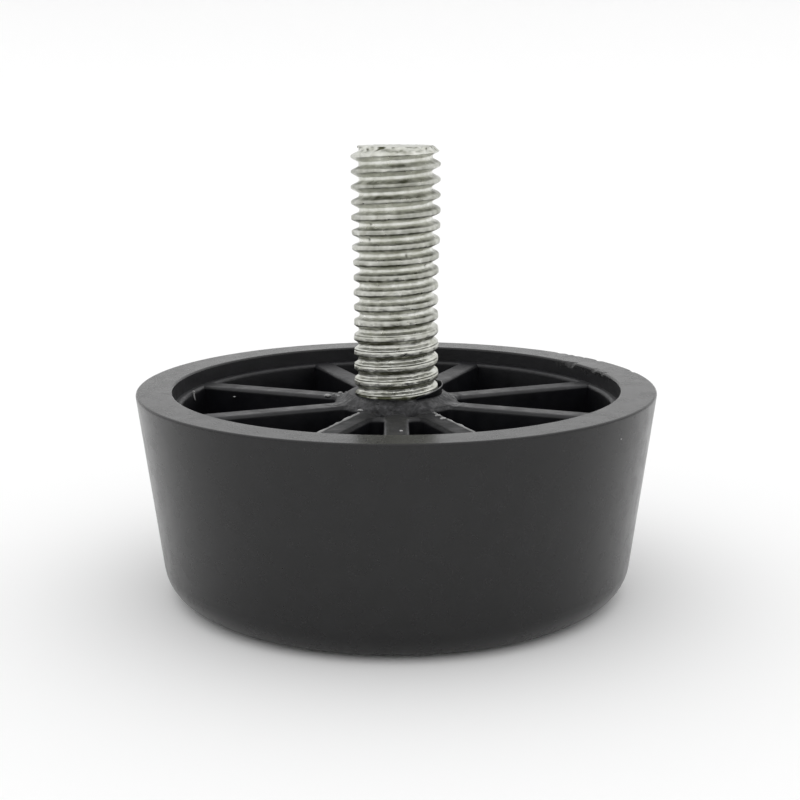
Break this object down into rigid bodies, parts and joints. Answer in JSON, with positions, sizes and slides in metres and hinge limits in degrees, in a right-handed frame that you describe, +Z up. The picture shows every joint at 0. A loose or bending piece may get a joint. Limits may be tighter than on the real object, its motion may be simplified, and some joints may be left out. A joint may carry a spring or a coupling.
{
  "type": "furniture foot",
  "caption": "Round black plastic furniture foot, a tapered cup stiffened by radial ribs, with a threaded zinc-plated steel stud moulded into its hub.",
  "frame": {"origin": "middle of the flat underside of the foot, on the floor", "axes": "+Z up along the stud's axis, towards its tip; +Y and -Y lie along the two extra ribs, +X is square to them"},
  "size_m": [0.035, 0.035, 0.03],
  "materials": {
    "black_plastic": "satin black moulded plastic",
    "zinc_steel": "dull zinc plating"
  },
  "bodies": {
    "root": {"foot_body": "black_plastic", "threaded_stud": "zinc_steel"}
  },
  "joints": []
}
